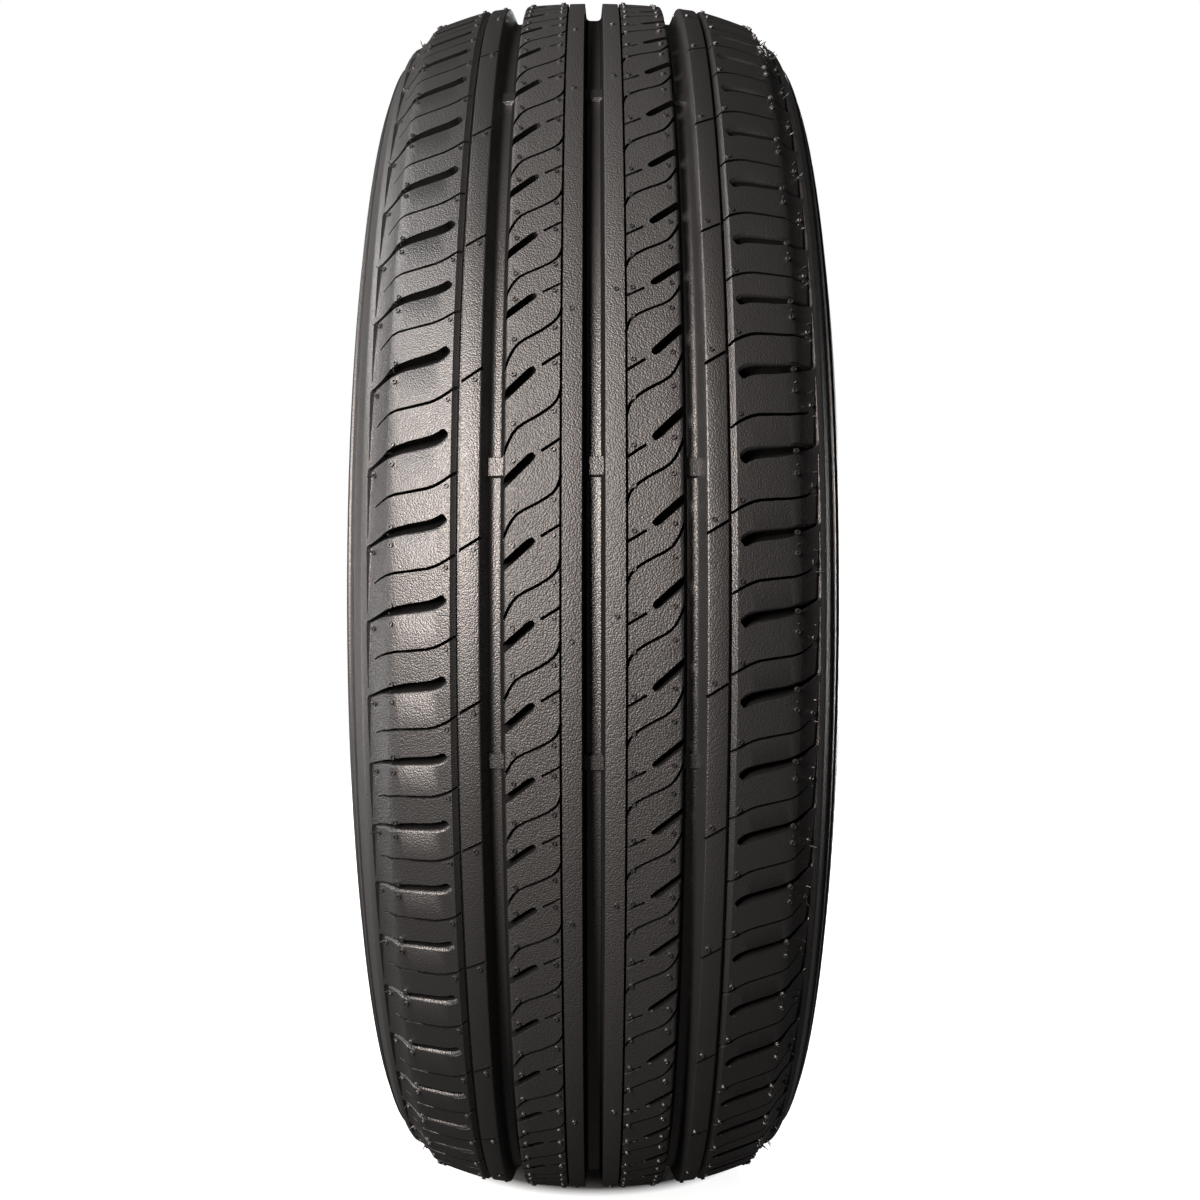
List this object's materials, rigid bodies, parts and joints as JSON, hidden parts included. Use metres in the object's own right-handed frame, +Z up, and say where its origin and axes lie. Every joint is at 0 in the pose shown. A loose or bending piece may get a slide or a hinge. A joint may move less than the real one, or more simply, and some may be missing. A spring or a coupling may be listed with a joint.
{
  "type": "car tyre",
  "caption": "Radial passenger car tyre: a hollow rubber ring with ribs, round grooves and slanted slots in the tread, plain sidewalls and two beads that seat on a rim.",
  "frame": {"origin": "centre of the tyre, on its axis, midway between the beads", "axes": "+Y along the axis of rotation, +Z up with the tyre standing on its tread, +X towards the viewer of the picture"},
  "size_m": [0.6346, 0.1996, 0.6349],
  "materials": {
    "tyre": "matte"
  },
  "bodies": {
    "root": {"tyre": "tyre"}
  },
  "joints": []
}
